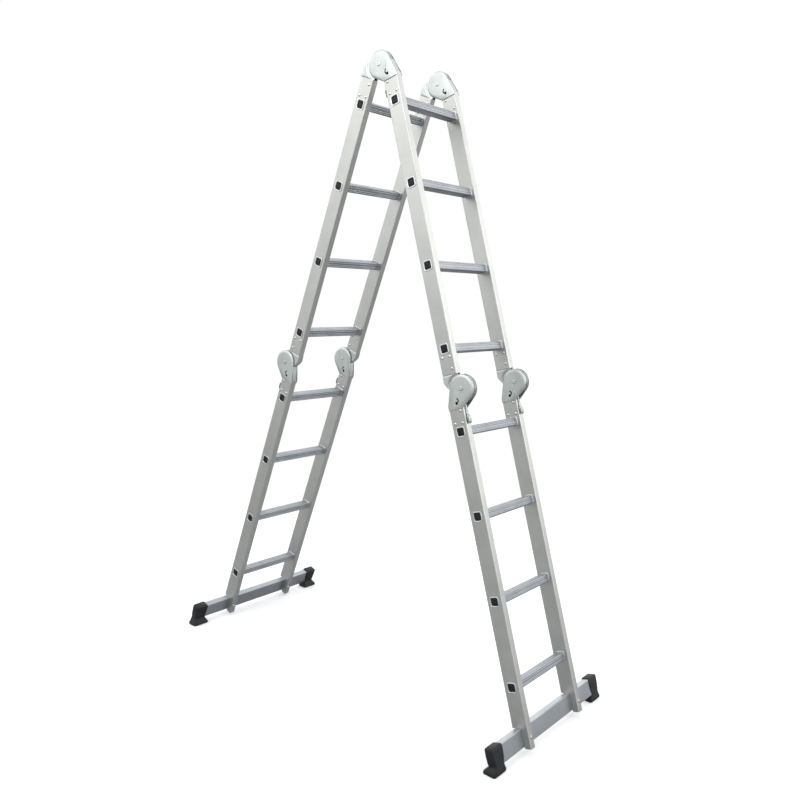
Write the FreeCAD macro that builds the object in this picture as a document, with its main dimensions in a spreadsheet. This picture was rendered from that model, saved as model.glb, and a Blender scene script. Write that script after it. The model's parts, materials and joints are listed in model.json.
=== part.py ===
import FreeCAD, Part
import os

import Sketcher
from FreeCAD import Placement, Rotation, Vector

# A four-section folding ladder standing as an A-frame, in millimetres. +Z is up, +X runs along the
# rungs, the front leg stands towards -Y and the back leg towards +Y. The origin is on the floor,
# in the middle of the four feet.
#
# Each leg is drawn hanging straight down from the top hinge's axis, then leaned about that axis.
# In a leg's own frame z = 0 is the top hinge's axis, and z runs down the leg as negative numbers.

doc = FreeCAD.newDocument("multi_position_ladder")

# --------------------------------------------------------------------------------------------
# Driving dimensions
# --------------------------------------------------------------------------------------------

DIMENSIONS = [
    # the whole ladder
    ("pivot_height", 2184.0),      # top hinge's axis above the floor
    ("lean", 18.3),                # each leg from the vertical, in degrees
    ("ladder_width", 350.0),       # over the outer faces of the stiles
    ("rung_pitch", 280.0),
    ("pivot_to_rung", 138.0),      # hinge axis to the nearest rung
    ("section_rungs", 4.0),
    ("foot_overhang", 198.0),      # last rung to the stile's lower end
    # stiles: rectangular tube
    ("stile_depth", 58.0),
    ("stile_width", 25.0),
    ("stile_wall", 1.5),
    ("stile_corner", 3.0),
    ("pivot_offset", 35.0),        # hinge axis from the stile's centreline
    ("stile_clear", 52.0),         # hinge axis to the cut end of a stile
    ("cut_margin", 1.0),           # how far a cutting tool runs past the face it leaves by
    # rungs: ribbed square tube, swaged over both walls of each stile
    ("rung_side", 30.0),
    ("rung_wall", 1.5),
    ("rung_corner", 5.0),
    ("rung_clearance", 0.1),
    ("groove_width", 4.0),
    ("groove_depth", 0.7),
    ("groove_spacing", 8.0),
    ("rim_side", 34.0),
    ("rim_proud", 1.6),
    ("rim_corner", 7.0),
    ("plug_depth", 14.0),
    ("plug_recess", 0.6),
    # hinge plates
    ("disc_radius", 46.0),
    ("dish_radius", 39.0),
    ("knuckle_radius", 44.0),
    ("cover_inside", 8.8),         # from the stile's middle plane to the cover plate
    ("plate_thick", 2.0),
    ("dish_proud", 15.0),          # from the stile's middle plane to the face of the raised disc
    ("knuckle_inside", 5.4),
    ("knuckle_thick", 3.0),
    ("arm_depth", 52.0),
    ("arm_end", 120.0),            # hinge axis to the end of the arms
    ("knuckle_step", 47.5),        # hinge axis to the step in the knuckle plates
    # cheek beside the covers' disc, from the arm's edges or from the hinge axis
    ("cheek_bulge", 2.0),
    ("cheek_bulge_down", 32.2),
    ("cheek_taper", 3.0),
    ("cheek_taper_down", 10.4),
    ("cheek_top", 9.2),
    ("cheek_crown", 23.0),
    ("cheek_toe", 25.8),
    ("cheek_toe_down", 36.8),
    ("dish_seam", 0.2),            # gap between the dish's bore and the cheek's window
    ("dish_draft", 0.6),
    ("dish_lip", 1.0),
    # web beside the knuckles' disc
    ("web_lap", 6.0),
    ("web_bulge", 1.0),
    ("web_bulge_down", 41.6),
    ("web_side", 52.9),
    ("web_side_down", 13.0),
    ("web_top", 30.8),
    ("web_top_up", 13.2),
    ("web_crown", 22.0),
    ("web_toe", 22.0),
    ("web_toe_down", 35.2),
    ("notch_across", 27.3),
    ("notch_up", 36.1),
    ("notch_radius", 3.0),
    ("axle_radius", 6.0),
    ("axle_head_radius", 8.5),
    ("axle_head_height", 1.8),
    ("axle_head_edge", 1.0),
    ("axle_play", 0.1),
    ("fit_play", 0.05),
    # rivets
    ("rivet_radius", 3.0),
    ("rivet_head_radius", 5.2),
    ("rivet_head_height", 2.0),
    ("rivet_crown", 0.45),         # shares of the head's radius and height
    ("rivet_shoulder", 0.85),
    ("rivet_shoulder_up", 0.6),
    ("rivet_far", 110.0),
    ("rivet_near", 70.0),
    ("rivet_spread", 15.0),
    # hinge lock: cross pin and its release lever
    ("pin_radius", 2.5),
    ("pin_reach", 10.7),
    ("pin_across", 27.0),          # from the hinge axis towards the stile
    ("pin_down", 42.0),            # from the hinge axis along the stile
    ("pin_travel", 8.0),
    ("slot_play", 0.3),
    ("lever_gap", 0.4),
    ("lever_thick", 2.0),
    ("lever_width", 16.0),
    ("lever_neck", 8.0),
    ("lever_shoulder", 57.0),
    ("lever_bend", 88.0),
    ("lever_end", 118.0),
    ("grip_proud", 10.4),          # from the stile's edge to the outside of the grip
    ("grip_round", 2.0),
    ("grip_corner", 3.0),
    ("grip_run_in", 4.0),
    ("eye_wall", 2.0),
    ("tang_half", 1.0),
    ("tang_lap", 4.0),
    # stabiliser bars and their boots
    ("bar_height", 60.0),
    ("bar_thick", 25.0),
    ("bar_wall", 2.0),
    ("bar_corner", 3.0),
    ("bar_length", 688.0),
    ("bar_down", 2256.5),          # top hinge's axis to the bar's middle, along the leg
    ("front_bar_offset", 27.5),    # bar's middle from the top hinge's axis, across the leg
    ("back_bar_offset", 42.5),
    ("bar_play", 0.3),
    ("bolt_radius", 4.0),
    ("bolt_head_radius", 6.5),
    ("bolt_head_height", 4.0),
    ("bolt_crown", 1.5),
    ("bolt_end", 4.0),             # how far the shank stands out inside the bar
    ("sleeve_inner", 290.0),       # boot's sleeve, from the ladder's middle plane
    ("sleeve_outer", 349.0),
    ("sleeve_wall", 4.0),
    ("sole_inner", 288.0),
    ("sole_outer", 357.0),
    ("sole_width", 46.0),
    ("sole_shift", 4.0),           # middle of the sole outwards of the bar's middle
    ("sole_thick", 7.0),
    ("boot_shoulder", 24.0),       # height at which the sole's flare meets the sleeve
    ("ankle_lap", 1.0),
]

sheet = doc.addObject("Spreadsheet::Sheet", "Dims")
for row, (alias, number) in enumerate(DIMENSIONS, start=1):
    sheet.set(f"A{row}", alias.replace("_", " "))
    sheet.set(f"B{row}", str(number))
    sheet.setAlias(f"B{row}", alias)
doc.recompute()
ALIASES = {alias for alias, number in DIMENSIONS}


def bound(text):
    """An expression over the sheet: every alias in the text is read from its cell."""
    words = [f"Dims.{word}" if word in ALIASES else word for word in str(text).split()]
    return " ".join(words).replace("cos (", "cos(").replace("sin (", "sin(")


def value(text):
    """The number that such an expression has now."""
    return float(sheet.evalExpression(bound(text)))


# --------------------------------------------------------------------------------------------
# Sketches and features
# --------------------------------------------------------------------------------------------

def new_body(name):
    return doc.addObject("PartDesign::Body", name)


def origin_plane(body, role):
    return [part for part in body.Origin.OriginFeatures if part.Role == role][0]


def new_sketch(body, role, name, lift="0", rise="0"):
    """A sketch on one of the body's own origin planes, lifted along the plane's normal and
    raised along its own vertical axis."""
    sketch = body.newObject("Sketcher::SketchObject", name)
    sketch.AttachmentSupport = [(origin_plane(body, role), "")]
    sketch.MapMode = "FlatFace"
    sketch.setExpression("AttachmentOffset.Base.y", bound(rise))
    sketch.setExpression("AttachmentOffset.Base.z", bound(lift))
    return sketch


def pin_point(sketch, geometry, end, across, up):
    """Dimension one point of the sketch from the sketch's origin."""
    for kind, text in (("DistanceX", across), ("DistanceY", up)):
        constraint = Sketcher.Constraint(kind, -1, 1, geometry, end, value(text))
        index = sketch.addConstraint(constraint)
        sketch.setExpression(f"Constraints[{index}]", bound(text))


def polygon(sketch, points):
    """A closed outline of straight lines through dimensioned corners."""
    first = sketch.GeometryCount
    corners = [Vector(value(across), value(up), 0) for across, up in points]
    for start, end in zip(corners, corners[1:] + corners[:1]):
        sketch.addGeometry(Part.LineSegment(start, end), False)
    for step in range(len(points)):
        following = (step + 1) % len(points)
        sketch.addConstraint(
            Sketcher.Constraint("Coincident", first + step, 2, first + following, 1))
    for step, (across, up) in enumerate(points):
        pin_point(sketch, first + step, 1, across, up)


def rectangle(sketch, low_across, low_up, high_across, high_up):
    polygon(sketch, [(low_across, low_up), (high_across, low_up),
                     (high_across, high_up), (low_across, high_up)])


def centred_rectangle(sketch, across, up):
    rectangle(sketch, f"- {across} / 2", f"- {up} / 2", f"{across} / 2", f"{up} / 2")


def circle(sketch, across, up, radius):
    index = sketch.addGeometry(
        Part.Circle(Vector(value(across), value(up), 0), Vector(0, 0, 1), value(radius)), False)
    pin_point(sketch, index, 3, across, up)
    number = sketch.addConstraint(Sketcher.Constraint("Radius", index, value(radius)))
    sketch.setExpression(f"Constraints[{number}]", bound(radius))


def pad(body, sketch, length, reversed_way=False, both_ways=False):
    feature = body.newObject("PartDesign::Pad", sketch.Name + "_pad")
    feature.Profile = sketch
    feature.Length = value(length)
    feature.setExpression("Length", bound(length))
    feature.Reversed = reversed_way
    feature.Midplane = both_ways
    return feature


LEAST_CUT = 0.5    # cubic millimetres


def pocket(body, sketch, length=None, reversed_way=False):
    """Cut the sketch through: all the way both ways, or for a length one way."""
    doc.recompute()
    before = body.Shape.Volume
    feature = body.newObject("PartDesign::Pocket", sketch.Name + "_cut")
    feature.Profile = sketch
    if length is None:
        feature.Type = "ThroughAll"
        feature.Midplane = True
    else:
        feature.Length = value(length)
        feature.setExpression("Length", bound(length))
        feature.Reversed = reversed_way
    doc.recompute()
    if body.Shape.Volume > before - LEAST_CUT:
        raise RuntimeError(f"{feature.Name} cuts nothing")
    return feature


def revolve(body, sketch, axis="V_Axis"):
    feature = body.newObject("PartDesign::Revolution", sketch.Name + "_turn")
    feature.Profile = sketch
    feature.ReferenceAxis = (sketch, [axis])
    feature.Angle = 360
    return feature


def round_long_edges(body, base, direction, radius):
    """Fillet every edge of the base feature that runs along a direction."""
    doc.recompute()
    names = []
    for number, edge in enumerate(base.Shape.Edges, start=1):
        ends = edge.Vertexes
        if len(ends) == 2:
            run = (ends[1].Point - ends[0].Point).normalize()
            if abs(run.dot(direction)) > 0.999:
                names.append(f"Edge{number}")
    feature = body.newObject("PartDesign::Fillet", base.Name + "_round")
    feature.Base = (base, names)
    feature.Radius = value(radius)
    feature.setExpression("Radius", bound(radius))
    return feature


def repeat_down(body, feature, sketch, spacing, count):
    """Repeat a feature along the sketch's own vertical axis, downwards."""
    pattern = body.newObject("PartDesign::LinearPattern", feature.Name + "_row")
    pattern.Originals = [feature]
    pattern.Direction = (sketch, ["V_Axis"])
    pattern.Reversed = True
    pattern.Length = value(f"{spacing} * ( {count} - 1 )")
    pattern.setExpression("Length", bound(f"{spacing} * ( {count} - 1 )"))
    pattern.Occurrences = int(value(count))
    body.Tip = pattern
    return pattern


# --------------------------------------------------------------------------------------------
# Stiles: aluminium tube, pierced for the rungs and drilled for the hinge rivets
# --------------------------------------------------------------------------------------------

SECTION = "( 2 * pivot_to_rung + ( section_rungs - 1 ) * rung_pitch )"
LOWER_LENGTH = "( pivot_to_rung + ( section_rungs - 1 ) * rung_pitch + foot_overhang )"


def rivet_places(pivot_side, pivot_z, way):
    """The three rivets of one hinge end, as (y, z) in the stile's frame."""
    far = f"{pivot_z} + {way} * rivet_far"
    near = f"{pivot_z} + {way} * rivet_near"
    return [("rivet_spread", far), ("- rivet_spread", far),
            (f"{pivot_side} * rivet_spread", near)]


def make_stile(name, length, rivets, foot_cut=None):
    """The stile's frame: x and y on its centreline, z = 0 at the hinge axis above it."""
    body = new_body(name)
    section = new_sketch(body, "XY_Plane", name + "_section", "- stile_clear")
    centred_rectangle(section, "stile_width", "stile_depth")
    tube = pad(body, section, f"{length} - stile_clear", reversed_way=True)
    round_long_edges(body, tube, Vector(0, 0, 1), "stile_corner")
    bore = new_sketch(body, "XY_Plane", name + "_bore")
    centred_rectangle(bore, "( stile_width - 2 * stile_wall )", "( stile_depth - 2 * stile_wall )")
    pocket(body, bore)

    hole = new_sketch(body, "YZ_Plane", name + "_rung_hole")
    half = "( rung_side / 2 + rung_clearance )"
    rectangle(hole, f"- {half}", f"- pivot_to_rung - {half}", half, f"- pivot_to_rung + {half}")
    repeat_down(body, pocket(body, hole), hole, "rung_pitch", "section_rungs")

    drilled = new_sketch(body, "YZ_Plane", name + "_rivet_holes")
    for across, up in rivets:
        circle(drilled, across, up, "( rivet_radius + fit_play )")
    pocket(body, drilled)
    if foot_cut is not None:
        cut_for_bar(body, name, *foot_cut)
    return body


def cut_for_bar(body, name, strip_edge, bar_middle):
    """Cut the bar's seat out of the stile's foot, and drill the strip that is left for its bolt."""
    seat = new_sketch(body, "YZ_Plane", name + "_bar_seat")
    top = f"- {bar_middle} + bar_height / 2 + bar_play"
    rectangle(seat, strip_edge, f"- {LOWER_LENGTH} - cut_margin", "stile_depth", top)
    pocket(body, seat)
    bolt = new_sketch(body, "XZ_Plane", name + "_bolt_hole")
    circle(bolt, "0", f"- {bar_middle}", "( bolt_radius + fit_play )")
    pocket(body, bolt)


# The top hinge sits inside the A and the middle hinges sit outside it, so on the back leg the
# upper stile's hinge axis is on its -y side at the top and on its +y side at the bottom.
BAR_BELOW_HINGE = f"( bar_down - {SECTION} )"
upper_stile = make_stile(
    "upper_stile", f"( {SECTION} - stile_clear )",
    rivet_places("-1", "0", "-1") + rivet_places("1", f"- {SECTION}", "1"))
FRONT_STRIP = "( pivot_offset - front_bar_offset - bar_thick / 2 - bar_play )"
BACK_STRIP = "( back_bar_offset - pivot_offset - bar_thick / 2 - bar_play )"
lower_front_stile = make_stile(
    "lower_front_stile", LOWER_LENGTH, rivet_places("-1", "0", "-1"),
    foot_cut=(FRONT_STRIP, BAR_BELOW_HINGE))
lower_back_stile = make_stile(
    "lower_back_stile", LOWER_LENGTH, rivet_places("1", "0", "-1"),
    foot_cut=(BACK_STRIP, BAR_BELOW_HINGE))


# --------------------------------------------------------------------------------------------
# Rung: grooved square tube, with a rim swaged outside each stile and a collar inside it
# --------------------------------------------------------------------------------------------

def rung_groove(sketch, side, across):
    """One shallow groove in one of the four faces: sides 0 to 3 are +y, -y, +z and -z."""
    low = f"{across} - groove_width / 2"
    high = f"{across} + groove_width / 2"
    floor = "( rung_side / 2 - groove_depth )"
    face = "( rung_side / 2 + cut_margin )"
    if side == 0:
        rectangle(sketch, floor, low, face, high)
    elif side == 1:
        rectangle(sketch, f"- {face}", low, f"- {floor}", high)
    elif side == 2:
        rectangle(sketch, low, floor, high, face)
    else:
        rectangle(sketch, low, f"- {face}", high, f"- {floor}")


def make_rung():
    body = new_body("rung")
    section = new_sketch(body, "YZ_Plane", "rung_section")
    centred_rectangle(section, "rung_side", "rung_side")
    tube = pad(body, section, "ladder_width + 2 * rim_proud", both_ways=True)
    round_long_edges(body, tube, Vector(1, 0, 0), "rung_corner")
    for side in range(4):
        grooves = new_sketch(body, "YZ_Plane", f"rung_grooves_{side}",
                             "- ( ladder_width / 2 - stile_width - rim_proud )")
        for across in ("- groove_spacing / 2", "groove_spacing / 2"):
            rung_groove(grooves, side, across)
        pocket(body, grooves, "ladder_width - 2 * stile_width - 2 * rim_proud",
               reversed_way=True)
    for number, lift in enumerate(("ladder_width / 2", "ladder_width / 2 - stile_width")):
        for way in (1, -1):
            rim = new_sketch(body, "YZ_Plane", f"rung_rim_{number}_{way + 1}", f"{way} * ( {lift} )")
            centred_rectangle(rim, "rim_side", "rim_side")
            outwards = (way == 1) == (number == 0)
            flange = pad(body, rim, "rim_proud", reversed_way=not outwards)
            round_outer_corners(body, flange, "rim_side", "rim_corner")
    bore = new_sketch(body, "YZ_Plane", "rung_bore")
    centred_rectangle(bore, "( rung_side - 2 * rung_wall )", "( rung_side - 2 * rung_wall )")
    pocket(body, bore)
    return body


def round_outer_corners(body, base, side, radius):
    """Fillet the four short corner edges of a square flange."""
    doc.recompute()
    reach = value(side) / 2 - 0.01
    names = []
    for number, edge in enumerate(base.Shape.Edges, start=1):
        middle = edge.CenterOfMass
        if abs(middle.y) > reach and abs(middle.z) > reach:
            names.append(f"Edge{number}")
    feature = body.newObject("PartDesign::Fillet", base.Name + "_round")
    feature.Base = (base, names)
    feature.Radius = value(radius)
    feature.setExpression("Radius", bound(radius))


def make_plug():
    """Moulded plug in a rung's mouth. Its frame: x = 0 at the rung's rim, the plug towards +x."""
    body = new_body("rung_plug")
    block = new_sketch(body, "YZ_Plane", "plug_block", "plug_recess")
    side = "( rung_side - 2 * rung_wall - 2 * rung_clearance )"
    centred_rectangle(block, side, side)
    plug = pad(body, block, "plug_depth")
    round_long_edges(body, plug, Vector(1, 0, 0), "rung_corner / 2")
    return body


rung = make_rung()
rung_plug = make_plug()


# --------------------------------------------------------------------------------------------
# Hinge. Its frame: the axle along x through the origin, x = 0 on the stile's middle plane, the
# arms down -z into the stile, whose centreline is pivot_offset towards +y. Only the plate on the
# +x side is drawn, and its twin is its mirror image.
# --------------------------------------------------------------------------------------------

def drill_arm(body, name):
    """Holes for the three rivets that hold the arm in its stile."""
    holes = new_sketch(body, "YZ_Plane", name + "_arm_holes")
    for across, up in rivet_places("-1", "0", "-1"):
        circle(holes, f"pivot_offset + {across}", up, "( rivet_radius + fit_play )")
    pocket(body, holes)


def make_cover_plate():
    """Outer plate: a flat arm, a cheek beside the disc, and a dished disc pressed outwards."""
    body = new_body("cover_plate")
    cheek = new_sketch(body, "YZ_Plane", "cover_cheek", "cover_inside")
    near = "( pivot_offset - arm_depth / 2 )"
    far = "( pivot_offset + arm_depth / 2 )"
    polygon(cheek, [
        (near, "- arm_end"), (far, "- arm_end"), (far, "- stile_clear"),
        (f"{far} + cheek_bulge", "- cheek_bulge_down"),
        (f"{far} - cheek_taper", "- cheek_taper_down"), ("disc_radius - dish_lip", "cheek_top"),
        ("0", "cheek_crown"), ("- cheek_toe", "- cheek_toe_down"), (near, "- stile_clear")])
    pad(body, cheek, "plate_thick")
    window = new_sketch(body, "YZ_Plane", "cover_window")
    circle(window, "0", "0", "( disc_radius - plate_thick )")
    pocket(body, window)
    dish = new_sketch(body, "XZ_Plane", "cover_dish")
    skin = "( dish_proud - plate_thick )"
    bore = "( axle_radius + fit_play )"
    wall = "( disc_radius - plate_thick - dish_seam )"
    polygon(dish, [
        ("cover_inside", wall), ("cover_inside", "disc_radius"),
        ("cover_inside + plate_thick + dish_draft", "disc_radius"), ("dish_proud", "dish_radius"),
        ("dish_proud", bore), (skin, bore), (skin, "dish_radius - dish_lip"),
        ("cover_inside + dish_draft + dish_seam", wall)])
    revolve(body, dish, "H_Axis")
    slot = new_sketch(body, "YZ_Plane", "cover_slot")
    half = "( pin_radius + slot_play )"
    rectangle(slot, f"pin_across - {half}", f"- pin_down - pin_travel - {half}",
              f"pin_across + {half}", f"- pin_down + {half}")
    pocket(body, slot)
    drill_arm(body, "cover")
    return body


def make_knuckle_plate():
    """Inner plate: a flat disc and web between the covers, and an arm stepped out to the stile."""
    body = new_body("knuckle_plate")
    near = "( pivot_offset - arm_depth / 2 )"
    far = "( pivot_offset + arm_depth / 2 )"
    web = new_sketch(body, "YZ_Plane", "knuckle_web", "knuckle_inside")
    polygon(web, [
        (near, "- knuckle_step - web_lap"), (far, "- knuckle_step - web_lap"),
        (f"{far} + web_bulge", "- web_bulge_down"), ("web_side", "- web_side_down"),
        ("web_top", "web_top_up"), ("0", "web_crown"), ("- web_toe", "- web_toe_down")])
    pad(body, web, "knuckle_thick")
    disc = new_sketch(body, "YZ_Plane", "knuckle_disc", "knuckle_inside")
    circle(disc, "0", "0", "knuckle_radius")
    pad(body, disc, "knuckle_thick")
    arm = new_sketch(body, "YZ_Plane", "knuckle_arm", "knuckle_inside")
    rectangle(arm, near, "- arm_end", far, "- knuckle_step")
    pad(body, arm, "( cover_inside + plate_thick - knuckle_inside )")
    bore = new_sketch(body, "YZ_Plane", "knuckle_bore")
    circle(bore, "0", "0", "( axle_radius + fit_play )")
    pocket(body, bore)
    notch = new_sketch(body, "YZ_Plane", "knuckle_notches")
    for way in (1, -1):
        circle(notch, f"{way} * notch_across", "notch_up", "notch_radius")
    pocket(body, notch)
    drill_arm(body, "knuckle")
    return body


def turned_pin(name, stations, across="0", down="0"):
    """A pin turned from (x, radius) stations about its own axis, which runs along x."""
    body = new_body(name)
    outline = new_sketch(body, "XZ_Plane", name + "_outline", f"- {across}", f"- {down}")
    polygon(outline, [(stations[0][0], "0")] + stations + [(stations[-1][0], "0")])
    revolve(body, outline, "H_Axis")
    return body


AXLE_SEAT = "( dish_proud + axle_play )"
axle = turned_pin("axle", [
    (f"- {AXLE_SEAT} - axle_head_height", "axle_head_radius - axle_head_edge"),
    (f"- {AXLE_SEAT}", "axle_head_radius"), (f"- {AXLE_SEAT}", "axle_radius"),
    (AXLE_SEAT, "axle_radius"), (AXLE_SEAT, "axle_head_radius"),
    (f"{AXLE_SEAT} + axle_head_height", "axle_head_radius - axle_head_edge")])
RIVET_SHOULDER = "( stile_width / 2 + rivet_head_height * rivet_shoulder_up )"
rivet = turned_pin("rivet", [
    ("- stile_width / 2 - rivet_head_height", "rivet_head_radius * rivet_crown"),
    (f"- {RIVET_SHOULDER}", "rivet_head_radius * rivet_shoulder"),
    ("- stile_width / 2", "rivet_head_radius"), ("- stile_width / 2", "rivet_radius"),
    ("stile_width / 2", "rivet_radius"), ("stile_width / 2", "rivet_head_radius"),
    (RIVET_SHOULDER, "rivet_head_radius * rivet_shoulder"),
    ("stile_width / 2 + rivet_head_height", "rivet_head_radius * rivet_crown")])
lock_pin = turned_pin("lock_pin", [("- pin_reach", "pin_radius"), ("pin_reach", "pin_radius")],
                      "pin_across", "pin_down")
cover_plate = make_cover_plate()
knuckle_plate = make_knuckle_plate()


def make_lever():
    """Release lever: a strap along the stile's edge, a tang to the lock pin and a bent-out grip."""
    body = new_body("release_lever")
    edge = "( pivot_offset - stile_depth / 2 )"
    outside = f"( {edge} - lever_gap - lever_thick )"
    inside = f"( {edge} - lever_gap )"
    eye = "( pin_radius + eye_wall )"

    tang = new_sketch(body, "YZ_Plane", "lever_tang")
    polygon(tang, [
        (outside, "- pin_down + tang_half"), (f"pin_across + {eye}", "- pin_down + tang_half"),
        (f"pin_across + {eye}", f"- pin_down - {eye}"),
        (f"pin_across - {eye}", f"- pin_down - {eye}"),
        (f"pin_across - {eye}", "- pin_down - tang_half"), (inside, "- pin_down - tang_half"),
        (inside, "- lever_shoulder - tang_lap"), (outside, "- lever_shoulder - tang_lap")])
    pad(body, tang, "lever_neck", both_ways=True)
    crown = new_sketch(body, "YZ_Plane", "lever_crown")
    rectangle(crown, f"pin_across - {eye}", "- pin_down", f"pin_across + {eye}",
              f"- pin_down + {eye}")
    pad(body, crown, "lever_neck", both_ways=True)

    strap = new_sketch(body, "YZ_Plane", "lever_strap")
    grip = f"( {edge} - grip_proud )"
    polygon(strap, [
        (inside, "- lever_shoulder"), (inside, "- lever_end"),
        (f"{grip} + grip_round", "- lever_end"), (grip, "- lever_end + grip_corner"),
        (grip, "- lever_bend - grip_corner"), (f"{grip} + grip_round", "- lever_bend"),
        (outside, "- lever_bend + grip_run_in"), (outside, "- lever_shoulder")])
    pad(body, strap, "lever_width", both_ways=True)
    eye_bore = new_sketch(body, "YZ_Plane", "lever_eye")
    circle(eye_bore, "pin_across", "- pin_down", "( pin_radius + fit_play )")
    pocket(body, eye_bore)
    return body


release_lever = make_lever()


# --------------------------------------------------------------------------------------------
# Stabiliser bar, its bolt and its rubber boots
# --------------------------------------------------------------------------------------------

def make_bar():
    """Rectangular tube along x, about its own middle, drilled in its -y wall for the bolts."""
    body = new_body("bar")
    section = new_sketch(body, "YZ_Plane", "bar_section")
    centred_rectangle(section, "bar_thick", "bar_height")
    tube = pad(body, section, "bar_length", both_ways=True)
    round_long_edges(body, tube, Vector(1, 0, 0), "bar_corner")
    bore = new_sketch(body, "YZ_Plane", "bar_bore")
    centred_rectangle(bore, "( bar_thick - 2 * bar_wall )", "( bar_height - 2 * bar_wall )")
    pocket(body, bore)
    holes = new_sketch(body, "XZ_Plane", "bar_bolt_holes")
    for way in ("-1", "1"):
        circle(holes, f"{way} * ( ladder_width - stile_width ) / 2", "0",
               "( bolt_radius + fit_play )")
    pocket(body, holes, "bar_thick", reversed_way=True)
    return body


def make_bolt():
    """Bolt from the strip's face into the bar. Its frame: y = 0 under the head, shank to +y."""
    body = new_body("bar_bolt")
    outline = new_sketch(body, "XY_Plane", "bolt_outline")
    reach = "( stile_depth / 2 + bar_wall + bolt_end )"
    polygon(outline, [
        ("0", "- bolt_head_height"), ("bolt_head_radius - bolt_crown", "- bolt_head_height"),
        ("bolt_head_radius", "- bolt_head_height / 2"), ("bolt_head_radius", "0"),
        ("bolt_radius", "0"), ("bolt_radius", reach), ("0", reach)])
    revolve(body, outline, "V_Axis")
    return body


def make_boot(name, outward, offset):
    """Boot on the bar's -x end, about the bar's middle. The sleeve leans with the leg, and the
    sole lies flat on the floor. outward is 1 where the leg leans towards +y, else -1."""
    body = new_body(name)
    sleeve = new_sketch(body, "YZ_Plane", name + "_sleeve", "- sleeve_outer")
    drop = f"( pivot_height - bar_down * cos ( lean ) + {offset} * sin ( lean ) )"
    half_thick = "( bar_thick / 2 + sleeve_wall )"
    half_high = "( bar_height / 2 + sleeve_wall )"

    def leaned(across, up):
        return (f"{across} * cos ( lean ) - ( {outward} ) * {up} * sin ( lean )",
                f"{across} * ( {outward} ) * sin ( lean ) + {up} * cos ( lean )")

    polygon(sleeve, [leaned(f"( {a} * {half_thick} )", f"( {b} * {half_high} )")
                     for a, b in ((-1, -1), (1, -1), (1, 1), (-1, 1))])
    pad(body, sleeve, "sleeve_outer - sleeve_inner")

    sole = new_sketch(body, "XY_Plane", name + "_sole", f"- {drop}")
    middle = f"{outward} * sole_shift"
    rectangle(sole, "- sole_outer", f"{middle} - sole_width / 2",
              "- sole_inner", f"{middle} + sole_width / 2")
    pad(body, sole, "sole_thick")

    foot = new_sketch(body, "XY_Plane", name + "_flare_foot", f"- {drop} + sole_thick")
    rectangle(foot, "- sole_outer", f"{middle} - sole_width / 2",
              "- sole_inner", f"{middle} + sole_width / 2")
    ankle = new_sketch(body, "XY_Plane", name + "_flare_top", f"- {drop} + boot_shoulder")
    rectangle(ankle, "- sleeve_outer", f"- {half_thick} - ankle_lap", "- sleeve_inner",
              f"{half_thick} + ankle_lap")
    flare = body.newObject("PartDesign::AdditiveLoft", name + "_flare")
    flare.Profile = foot
    flare.Sections = [ankle]
    flare.Ruled = True
    doc.recompute()

    bore = new_sketch(body, "YZ_Plane", name + "_bore", "- bar_length / 2 - bar_play")
    polygon(bore, [leaned(f"( {a} * ( bar_thick / 2 + bar_play ) )",
                          f"( {b} * ( bar_height / 2 + bar_play ) )")
                   for a, b in ((-1, -1), (1, -1), (1, 1), (-1, 1))])
    pocket(body, bore, "bar_length / 2", reversed_way=True)
    return body


bar = make_bar()
bar_bolt = make_bolt()
front_boot = make_boot("front_boot", -1, "front_bar_offset")
back_boot = make_boot("back_boot", 1, "back_bar_offset")


# --------------------------------------------------------------------------------------------
# Assembly: each sub-part is a named compound of linked pieces, set in its leg's frame
# --------------------------------------------------------------------------------------------

NO_TURN = Rotation()
ABOUT_Z = Rotation(Vector(0, 0, 1), 180)
ABOUT_Y = Rotation(Vector(0, 1, 0), 180)
ABOUT_X = Rotation(Vector(1, 0, 0), 180)
STILE_X = "( ( ladder_width - stile_width ) / 2 )"
APEX_SHIFT = "( ( front_bar_offset - back_bar_offset ) / 2 * cos ( lean ) )"
sub_parts = []


def linked(piece, across, deep, up, turn=NO_TURN):
    """One more of a piece that is already drawn, moved by expressions."""
    link = doc.addObject("App::Link", piece.Name + "_link")
    link.LinkedObject = piece
    link.Placement = Placement(Vector(), turn)
    for axis, text in (("x", across), ("y", deep), ("z", up)):
        link.setExpression(f"Placement.Base.{axis}", bound(text))
    return link


def mirrored(piece):
    """The piece's mirror image across its own x = 0 plane."""
    twin = doc.addObject("Part::Mirroring", piece.Name + "_twin")
    twin.Source = piece
    twin.Normal = Vector(1, 0, 0)
    return twin


def sub_part(name, pieces, leg=None):
    """Gather pieces under one name. leg is -1 for the front leg, 1 for the back leg, or None
    where the pieces already stand in the ladder's own frame."""
    group = doc.addObject("Part::Compound", name + "_part")
    group.Label = name
    group.Links = pieces
    if leg is not None:
        group.Placement = Placement(Vector(), Rotation(Vector(leg, 0, 0), value("lean")))
        group.setExpression("Placement.Base.y", bound(APEX_SHIFT))
        group.setExpression("Placement.Base.z", bound("pivot_height"))
        group.setExpression("Placement.Rotation.Angle", bound("lean"))
    sub_parts.append(group)


def both_sides(piece, deep, up, turn=NO_TURN):
    """The piece at the left stile and at the right stile."""
    return [linked(piece, f"{way} * {STILE_X}", deep, up, turn) for way in (-1, 1)]


cover_pair = doc.addObject("Part::Compound", "cover_pair")
cover_pair.Links = [cover_plate, mirrored(cover_plate)]
knuckle_pair = doc.addObject("Part::Compound", "knuckle_pair")
knuckle_pair.Links = [knuckle_plate, mirrored(knuckle_plate)]
doc.recompute()

SECTIONS = [
    # name, leg, hinge axis above it (y, z in the leg's frame), stile piece
    ("upper_front", -1, "0", upper_stile),
    ("lower_front", -1, SECTION, lower_front_stile),
    ("upper_back", 1, "0", upper_stile),
    ("lower_back", 1, SECTION, lower_back_stile),
]


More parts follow.
